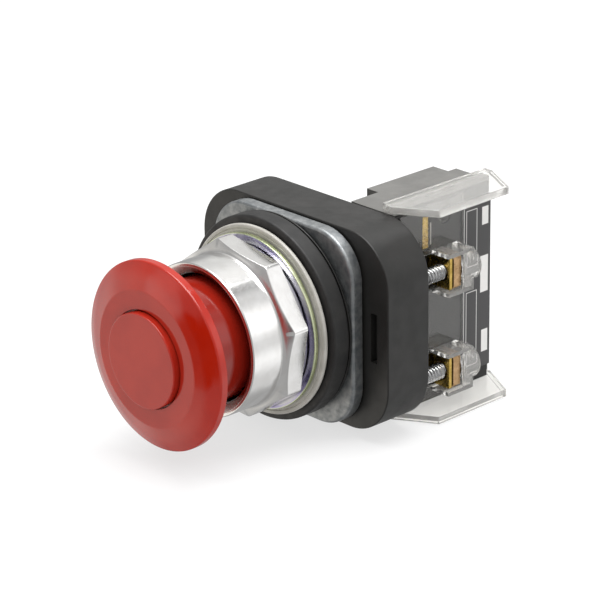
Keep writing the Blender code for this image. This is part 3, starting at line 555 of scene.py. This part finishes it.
def settle(obj, slot, body, *nodes, material=None):
    """Give a piece its material, its body, and the CAD nodes that it stands for."""
    obj.data.materials.clear()
    obj.data.materials.append(material or MATERIALS[slot])
    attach(obj, body)
    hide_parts(*nodes)
    return obj


def turned(name, corners, slot, body, closed=True, steps=5, count=ROUND, material=None):
    """A round piece about the Y axis, which stands for the CAD node of its name."""
    bm = bmesh.new()
    skin(bm, lathe_loops(rounded(corners, closed, steps), count=count), ring=closed)
    obj = as_object(name + "_fine", bm)
    ease(obj)
    return settle(obj, slot, body, name, material=material)


def copied(node, slot, body, width, cutters=(), segments=3, material=None):
    """The CAD node's own shape with its edges rounded and, if given, more detail cut in."""
    bm = bmesh.new()
    bm.from_mesh(frame["nodes"][node].data)
    bmesh.ops.remove_doubles(bm, verts=bm.verts, dist=1e-6)
    bmesh.ops.dissolve_limit(bm, angle_limit=math.radians(1), verts=bm.verts, edges=bm.edges)
    obj = as_object(node + "_fine", bm)
    if cutters:
        cut(obj, cutters)
    ease(obj, width, segments=segments)
    return settle(obj, slot, body, node, material=material)


# ---------------------------------------------------------------- head

def head():
    """Mushroom head, the cap in its face, and the sleeve that slides in the nut, in a darker red that
    paints the shade between head and nut.
    """
    body = "head_assembly"
    turned("mushroom_head", [
        (HEAD_BORE_R, HEAD_BACK_Y, 0), (HEAD_BORE_R, HEAD_POCKET_Y, 0),
        (HEAD_POCKET_R, HEAD_POCKET_Y, 0), (HEAD_POCKET_R, CAP_SEAT_Y, 0),
        (CAP_R + GAP, CAP_SEAT_Y, 0), (CAP_R + GAP, HEAD_FLAT_Y, 0.00012),
        (HEAD_FLAT_R, HEAD_FLAT_Y, 0.00025), (*HEAD_CONE, 0.0012),
        (HEAD_R, HEAD_EDGE_Y, 0.00030), (HEAD_R, HEAD_BACK_Y, 0.00030)],
        "head_red", body, steps=6)
    turned("head_centre_cap", [
        (CAP_R, CAP_SEAT_Y - GAP, 0), (CAP_R, CAP_FACE_Y, 0.00025), (0.0, CAP_FACE_Y, 0)],
        "head_red", body, closed=False)
    front = HEAD_BACK_Y + GAP
    # The sleeve is the head's red moulding in a darker copy: painted shade where it sits between the
    # head and the nut.
    turned("head_sleeve", [
        (HEAD_BORE_R, front, 0), (SLEEVE_R, front, 0.0002), (SLEEVE_R, SLEEVE_END_Y, 0.0002),
        (SLEEVE_BORE_R, SLEEVE_END_Y, 0.0002), (SLEEVE_BORE_R, SLEEVE_WEB_Y, 0),
        (HEAD_BORE_R, SLEEVE_WEB_Y, 0)],
        "head_red", body, material=glossy_red("sleeve_red_painted_shade", (0.205, 0.009, 0.004),
                                              (0.245, 0.012, 0.006)))


# ---------------------------------------------------------------- nut and ring stack

def octagon():
    """Points round the nut's flats, each side divided evenly between its rounded corners."""
    corners = []
    for i in range(8):
        turn = math.radians(NUT_CORNER_DEG + 45 * i)
        corners.append((NUT_CORNER_R * math.cos(turn), NUT_CORNER_R * math.sin(turn), NUT_CORNER_CUT))
    arc = NUT_CORNER_STEPS + 1
    outline = rounded(corners, steps=NUT_CORNER_STEPS)
    points = []
    for side in range(8):
        points += outline[side * arc:(side + 1) * arc]
        last, first = points[-1], outline[(side + 1) * arc % len(outline)]
        points += [last.lerp(first, step / NUT_SIDE_STEPS) for step in range(1, NUT_SIDE_STEPS)]
    return points


def nut_loops():
    """Closed ring of loops: mouth, nose, a shallow cone that cuts scallops into the flats, bore."""
    flats = octagon()
    angles = [math.atan2(p.y, p.x) for p in flats]

    def cone_y(radius):
        return NUT_CORNER_Y - (NUT_CORNER_R - radius) * NUT_SLOPE

    def loop(radius, y):
        return [(radius * math.cos(a), y, radius * math.sin(a)) for a in angles]

    def on_flats(shrink, y_of_radius):
        rows = []
        for p in flats:
            radius = p.length - shrink
            rows.append((p.x * radius / p.length, y_of_radius(radius, p.length),
                         p.y * radius / p.length))
        return rows

    nose = [(NUT_MOUTH_INNER_R, NUT_MOUTH_Y + NUT_MOUTH_BEVEL, 0),
            (NUT_MOUTH_R, NUT_MOUTH_Y, 0.00010), (NUT_NOSE_R, NUT_MOUTH_Y, 0.00035),
            (NUT_NOSE_R, cone_y(NUT_NOSE_R), 0.00025),
            (NUT_NOSE_R + NUT_CONE_STEP, cone_y(NUT_NOSE_R + NUT_CONE_STEP), 0)]
    loops = [loop(p.x, p.y) for p in rounded(nose, closed=False, steps=6)]
    return loops + [
        on_flats(NUT_EDGE, lambda r, full: cone_y(r)),
        on_flats(NUT_EDGE * 0.25, lambda r, full: cone_y(full) + NUT_EDGE * 0.25),
        on_flats(0.0, lambda r, full: cone_y(full) + NUT_EDGE),
        on_flats(0.0, lambda r, full: NUT_FLAT_BACK_Y - NUT_EDGE),
        on_flats(NUT_EDGE, lambda r, full: NUT_FLAT_BACK_Y),
        loop(NUT_COLLAR_R, NUT_FLAT_BACK_Y + 0.0003), loop(NUT_COLLAR_R, NUT_BACK_Y - 0.0001),
        loop(NUT_COLLAR_R - 0.0001, NUT_BACK_Y), loop(NUT_BORE_R, NUT_BACK_Y),
        loop(NUT_BORE_R, NUT_LIP_BACK_Y), loop(NUT_LIP_R, NUT_LIP_BACK_Y),
        loop(NUT_LIP_R, NUT_LIP_Y)]


def mounting_nut():
    """Octagonal nut with a round nose and a lip inside its mouth."""
    bm = bmesh.new()
    skin(bm, nut_loops(), ring=True)
    obj = as_object("mounting_nut_fine", bm)
    ease(obj)
    settle(obj, "polished_metal", "operator", "mounting_nut")


def ring_stack():
    """Plain rings with eased rims; the trim washer also has a shallow groove in its face."""
    groove_y = TRIM_Y0 + TRIM_GROOVE_DEPTH
    inner, floor_inner, floor_outer, outer = TRIM_GROOVE_R
    turned("trim_washer", [
        (TRIM_BORE_R, TRIM_Y0, RING_BORE_EDGE), (inner, TRIM_Y0, 0), (floor_inner, groove_y, 0),
        (floor_outer, groove_y, 0), (outer, TRIM_Y0, 0), (TRIM_R, TRIM_Y0, TRIM_EDGE),
        (TRIM_R, TRIM_Y1, TRIM_EDGE), (TRIM_BORE_R, TRIM_Y1, RING_BORE_EDGE)],
        "washer_grey", "operator", steps=6, count=RING_ROUND)
    for name, slot, outer, inner, y0, y1, edge in RINGS:
        turned(name, [(inner, y0, RING_BORE_EDGE), (outer, y0, edge), (outer, y1, edge),
                      (inner, y1, RING_BORE_EDGE)], slot, "operator", steps=6, count=RING_ROUND)


# ---------------------------------------------------------------- plate and housing

def round_tool(radius, y0, y1, x, z):
    """Cutter for a small round hole along Y."""
    return tool(lathe_loops([(radius, y0), (radius, y1)], x, z, SMALL_ROUND))


def die_cast_plate():
    """Rounded plate with a soft front edge, the bushing's bore and flange recess, and two holes."""
    side = rounded([(PLATE_FRONT_EDGE * 2, PLATE_Y0, 0), (0.0, PLATE_Y0, PLATE_FRONT_EDGE),
                    (0.0, PLATE_Y1, PLATE_BACK_EDGE), (PLATE_BACK_EDGE * 2, PLATE_Y1, 0)],
                   closed=False)
    bm = bmesh.new()
    skin(bm, [rectangle(PLATE, y, inset) for inset, y in side])
    obj = as_object("die_cast_plate_fine", bm)
    y0, y1 = PLATE_CUT_Y
    cutters = [tool(lathe_loops([(PLATE_BORE_R, y0), (PLATE_BORE_R, PLATE_FLANGE_Y),
                                 (PLATE_FLANGE_R, PLATE_FLANGE_Y), (PLATE_FLANGE_R, y1)]))]
    cutters += [round_tool(SCREW_HOLE_R, y0, y1, PLATE_SCREW_X, z)
                for z in (-PLATE_SCREW_Z, PLATE_SCREW_Z)]
    cut(obj, cutters)
    ease(obj)
    settle(obj, "cast_zinc", "operator", "die_cast_plate")


def housing_cutters():
    """Shaft hole, lever slots in front, and plunger windows and screw holes behind."""
    y0, y1 = HOUSING_FLOOR_Y - PAST, HOUSING_Y1 + PAST
    cutters = [round_tool(SHAFT_HOLE_R, y0, y1, 0.0, 0.0)]
    for side in (-1, 1):
        slot = HOUSING[0] + side * LEVER_SLOT_X
        cutters.append(tool(box_loops(slot - LEVER_SLOT_HALF_X, slot + LEVER_SLOT_HALF_X,
                                      HOUSING_Y0 - PAST, HOUSING_Y0 + LEVER_SLOT_DEPTH,
                                      -LEVER_SLOT_HALF_Z, LEVER_SLOT_HALF_Z)))
        x = side * PLUNGER_X
        cutters.append(tool(box_loops(x - WINDOW_HALF_X, x + WINDOW_HALF_X, y0, y1,
                                      PLUNGER_Z - WINDOW_HALF_Z, PLUNGER_Z + WINDOW_HALF_Z)))
        cutters.append(tool(lathe_loops(
            [(SCREW_HOLE_R, y0), (SCREW_HOLE_R, PLATE_SCREW_RECESS_Y),
             (PLATE_SCREW_RECESS_R, PLATE_SCREW_RECESS_Y), (PLATE_SCREW_RECESS_R, y1)],
            PLATE_SCREW_X, side * PLATE_SCREW_Z, SMALL_ROUND)))
        cutters += [round_tool(SCREW_HOLE_R, BLOCK_SCREW_HOLE_Y, y1, x, side * BLOCK_SCREW_Z)
                    for x in (-BLOCK_SCREW_X, BLOCK_SCREW_X)]
    return cutters


def rear_housing():
    """Cup with eased edges, two lever slots in front, and windows for two blocks behind."""
    outside = rounded([(HOUSING_FRONT_EDGE * 3, HOUSING_Y0, 0), (0.0, HOUSING_Y0, HOUSING_FRONT_EDGE),
                       (0.0, HOUSING_Y1, HOUSING_BACK_EDGE), (HOUSING_BACK_EDGE * 3, HOUSING_Y1, 0)],
                      closed=False)
    loops = [rectangle(HOUSING_CAVITY, HOUSING_FLOOR_Y), rectangle(HOUSING_CAVITY, HOUSING_Y0)]
    loops += [rectangle(HOUSING, y, inset) for inset, y in outside]
    bm = bmesh.new()
    skin(bm, loops)
    obj = as_object("rear_housing_fine", bm)
    cut(obj, housing_cutters())
    ease(obj, 0.00015, limit_deg=60, segments=2)
    settle(obj, "black_plastic", "operator", "rear_housing")


# ---------------------------------------------------------------- contact block and covers

def contact_block():
    """The block with a ring groove on its side, vents in its inner side and a rear recess."""
    turns = [2 * math.pi * i / SMALL_ROUND for i in range(SMALL_ROUND)]
    inner, outer = BOSS_GROOVE_R
    low, high = BLOCK_SIDE_X - BOSS_GROOVE_DEPTH, BLOCK_SIDE_X + PAST
    ring = [[(x, BOSS_Y + r * math.cos(t), BOSS_Z + r * math.sin(t)) for t in turns]
            for r, x in ((inner, low), (outer, low), (outer, high), (inner, high))]
    cutters = [tool(ring, ring=True)]
    cutters += [tool(box_loops(*VENT_X, *VENT_Y, z - VENT_HALF_Z, z + VENT_HALF_Z))
                for z in VENT_CENTRES_Z]
    cutters.append(tool(box_loops(*REAR_RECESS)))
    copied("contact_block_body", "grey_plastic", "operator", 0.00022, cutters)


def inset_plan(plan, by):
    """The plan's corners moved inwards so that each side moves in by the same distance."""
    points = [Vector(p) for p in plan]
    centre = sum(points, Vector((0.0, 0.0))) / len(points)
    moved = []
    for i, here in enumerate(points):
        before, after = here - points[i - 1], points[(i + 1) % len(points)] - here
        sides = [Vector((-d.y, d.x)).normalized() for d in (before, after)]
        sides = [n if n.dot(centre - here) > 0 else -n for n in sides]
        middle = (sides[0] + sides[1]).normalized()
        moved.append(here + middle * (by / middle.dot(sides[0])))
    return moved


def clear_guard(side, sign, material):
    """A clear tongue whose outer face is recessed between raised lips, with one moulded slot."""
    floor, top = sign * (GUARD_FACE_Z - GUARD_DROP), sign * (GUARD_FACE_Z + PAST)
    recess = tool([[(p.x, p.y, z) for p in inset_plan(GUARD_PLAN, GUARD_LIP)]
                   for z in (floor, top)])
    x0, x1, y0, y1 = GUARD_SLOT
    slot = tool([[(x0, y0, z), (x1, y0, z), (x1, y1, z), (x0, y1, z)]
                 for z in (floor - sign * GUARD_DROP, top)])
    copied("terminal_guard_" + side, "clear_plastic", "operator", 0.00018, [recess, slot],
           material=material)


def clear_parts():
    """Side cover with milky pockets, two milky guards and the label."""
    milky = clear_plastic("clear_plastic_milky", 0.87, (0.05, 0.12), (0.95, 0.935, 0.895))
    cover = copied("clear_cover", "clear_plastic", "operator", 0.00012, segments=2)
    cover.data.materials.append(milky)
    for face in cover.data.polygons:
        face.material_index = int(face.center.x > COVER_FACE_X)
    clear_guard("upper", 1, milky)
    clear_guard("lower", -1, milky)
    copied("label_plate", "label", "operator", 0.00008, segments=2)


def contact_parts():
    """Strips, clamps and bridge, and the plunger and foot that push them."""
    copied("contact_strip", "brass", "operator", 0.00008)
    for side, _ in TERMINALS:
        copied("fixed_contact_" + side, "brass", "operator", 0.00008)
        copied("saddle_clamp_" + side, "copper_alloy", side + "_clamp", 0.00015)
    copied("contact_bridge", "copper_alloy", "plunger_assembly", 0.00010)
    copied("contact_plunger", "plunger_red", "plunger_assembly", 0.00015)
    copied("actuator_foot", "nylon", "head_assembly", 0.00020)


def thread_loops(height):
    """Loops up a right-hand helical thread that fades in at the tip and out at the end."""
    rows = round((THREAD_END_Y - THREAD_TIP_Y) / THREAD_PITCH * THREAD_ROWS)
    loops = []
    for row in range(rows + 1):
        y = THREAD_TIP_Y + (THREAD_END_Y - THREAD_TIP_Y) * row / rows
        fade = min(1.0, (y - THREAD_TIP_Y) / THREAD_PITCH, (THREAD_END_Y - y) / (THREAD_PITCH / 2))
        loop = []
        for i in range(THREAD_SIDES):
            turn = 2 * math.pi * i / THREAD_SIDES
            phase = (y / THREAD_PITCH + i / THREAD_SIDES) % 1.0
            rise = max(0.0, 1.0 - abs(phase - 0.5) / THREAD_FLANK)
            rise = min(rise * THREAD_OVERSHOOT, 1.0)
            radius = (THREAD_ROOT_R + (THREAD_CREST_R - THREAD_ROOT_R) * rise * fade
                      - THREAD_TIP_TAPER * (row == 0))
            loop.append((TERMINAL_X + radius * math.cos(turn), y, height + radius * math.sin(turn)))
        loops.append(loop)
    return loops


def terminal_screw(side, height):
    """Screw with a helical thread, a pan head and a drive slot."""
    seat, root, crown = SCREW_SEAT_Y, THREAD_ROOT_R, SCREW_SEAT_Y + SCREW_HEAD_HEIGHT
    head_line = rounded([(root, THREAD_END_Y + 0.0001, 0), (root, seat, 0),
                         (SCREW_HEAD_R, seat, 0.0001), (SCREW_HEAD_R, seat + SCREW_SHOULDER, 0.0003),
                         (SCREW_CROWN_R, crown, 0.0003), (0.0, crown, 0)], closed=False)
    loops = thread_loops(height)
    loops += lathe_loops([p for p in head_line if p.x > 0], TERMINAL_X, height, THREAD_SIDES)
    bm = bmesh.new()
    skin(bm, loops)
    obj = as_object("terminal_screw_%s_fine" % side, bm)
    reach = DRIVE_SLOT_REACH
    cut(obj, [tool(box_loops(TERMINAL_X - reach, TERMINAL_X + reach, seat + DRIVE_SLOT_FLOOR,
                             seat + reach, height - DRIVE_SLOT_HALF, height + DRIVE_SLOT_HALF))])
    ease(obj)
    settle(obj, "steel", side + "_screw", "terminal_screw_" + side)


def fixing_screws():
    """Pan-head screws with a cross recess, seen from behind."""
    for node, x, z, tip, seat, top, radius in FIXING_SCREWS:
        for side, sign in (("upper", 1), ("lower", -1)):
            line = rounded([(0.0, tip, 0), (FIXING_SHANK_R, tip, 0.0004), (FIXING_SHANK_R, seat, 0),
                            (radius, seat, 0.0001), (radius, top, 0.00045), (0.0, top, 0)],
                           closed=False)
            bm = bmesh.new()
            skin(bm, lathe_loops([p for p in line if p.x > 0], x, sign * z, SMALL_ROUND))
            obj = as_object("%s_%s_fine" % (node, side), bm)
            arm, across = radius * RECESS_ARM, radius * RECESS_HALF_WIDTH
            plus = [(across, -arm), (across, -across), (arm, -across), (arm, across),
                    (across, across), (across, arm)]
            plus += [(-a, -b) for a, b in plus]
            cut(obj, [tool([[(x + a, y, sign * z + b) for a, b in plus]
                            for y in (top - RECESS_DEPTH, top + PAST)])])
            ease(obj)
            settle(obj, "steel", "operator", "%s_%s" % (node, side))


def coil(name, node, body, sizes, y0, y1):
    """Round wire wound about the plunger's line from y0 to y1."""
    radius, wire, turns = sizes
    steps, sides = 32 * turns, 12
    bm = bmesh.new()
    loops = []
    for step in range(steps + 1):
        share = step / steps
        turn = 2 * math.pi * turns * share
        outward = Vector((math.cos(turn), 0.0, math.sin(turn)))
        y = y0 + wire + (y1 - y0 - 2 * wire) * share
        centre = Vector((PLUNGER_X, y, PLUNGER_Z)) + outward * radius
        loops.append([centre + outward * (wire * math.cos(2 * math.pi * i / sides)) +
                      Vector((0.0, wire * math.sin(2 * math.pi * i / sides), 0.0))
                      for i in range(sides)])
    skin(bm, loops)
    obj = as_object(name, bm)
    ease(obj)
    return settle(obj, "steel", body, node)


def springs():
    """Return spring, which gets a mesh of its own, and the bridge's own spring."""
    low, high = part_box("return_spring")
    spring = coil("return_spring_fine", "return_spring", "operator", RETURN_COIL, low.y, high.y)
    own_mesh(spring)
    low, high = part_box("bridge_spring")
    coil("bridge_spring_fine", "bridge_spring", "plunger_assembly", BRIDGE_COIL, low.y, high.y)


def finish_cad_nodes():
    """Carried-over CAD nodes take the procedural material of their record slot."""
    for part in frame["record"]["subparts"]:
        node = frame["nodes"][part["node"]]
        if not node.hide_render:
            for slot in node.material_slots:
                slot.material = MATERIALS[part["material_slot"]]


# ---------------------------------------------------------------- stage

def stage():
    """Plain pale floor."""
    bm = bmesh.new()
    bmesh.ops.create_circle(bm, cap_ends=True, radius=FLOOR_R, segments=96)
    floor = as_object("floor", bm)
    floor.location.z = FLOOR_Z
    mat, tree, shader = start_material("floor_paper")
    feed(tree, shader.inputs["Base Color"],
         blend(tree, noise(tree, place(tree), 0.05), *FLOOR_COLOURS))
    shader.inputs["Emission Color"].default_value = (1.0, 1.0, 1.0, 1.0)
    shader.inputs["Emission Strength"].default_value = FLOOR_GLOW
    shader.inputs["Roughness"].default_value = 0.9
    shader.inputs["Specular IOR Level"].default_value = 0.0
    floor.data.materials.append(mat)
    floor.visible_glossy = False


def world_light():
    """Soft light from all round: the base colour plus one soft-edged lobe after another."""
    world = bpy.data.worlds.new("studio")
    bpy.context.scene.world = world
    world.use_nodes = True
    tree = world.node_tree
    direction = tree.nodes.new("ShaderNodeTexCoord").outputs["Generated"]
    total = WORLD_BASE
    for axis, start, full, colour in WORLD_LOBES:
        dot = tree.nodes.new("ShaderNodeVectorMath")
        dot.operation = "DOT_PRODUCT"
        feed(tree, dot.inputs[0], direction)
        dot.inputs[1].default_value = Vector(axis).normalized()
        lobe = tree.nodes.new("ShaderNodeVectorMath")
        lobe.operation = "MULTIPLY_ADD"
        feed(tree, lobe.inputs[0], between(tree, dot.outputs["Value"], start, full))
        lobe.inputs[1].default_value = colour
        feed(tree, lobe.inputs[2], total)
        total = lobe.outputs["Vector"]
    feed(tree, tree.nodes["Background"].inputs["Color"], total)


def top_box():
    """Large soft lamp above the object, turned towards it."""
    light = bpy.data.lights.new("top_box", "AREA")
    light.shape, light.size, light.size_y = "RECTANGLE", TOP_BOX_SIDE, TOP_BOX_SIDE
    light.energy = TOP_BOX_WATTS
    obj = bpy.data.objects.new("top_box", light)
    obj.location = TOP_BOX_POSITION
    obj.rotation_euler = (-Vector(TOP_BOX_POSITION)).to_track_quat("-Z", "Y").to_euler()
    bpy.context.collection.objects.link(obj)


def camera():
    """Camera at the picture's viewing angle."""
    cam = bpy.data.cameras.new("camera")
    cam.lens, cam.sensor_width = LENS_MM, SENSOR_MM
    obj = bpy.data.objects.new("camera", cam)
    obj.matrix_world = Matrix.Translation(CAMERA_POSITION) @ Matrix(
        (CAMERA_RIGHT, CAMERA_UP, CAMERA_BACK)).transposed().to_4x4()
    bpy.context.collection.objects.link(obj)
    bpy.context.scene.camera = obj


MATERIALS = make_materials()
head()
mounting_nut()
ring_stack()
die_cast_plate()
rear_housing()
contact_block()
clear_parts()
contact_parts()
for terminal_side, terminal_height in TERMINALS:
    terminal_screw(terminal_side, terminal_height)
fixing_screws()
springs()
finish_cad_nodes()
stage()
world_light()
top_box()
camera()
bpy.context.scene.view_settings.view_transform = "Standard"
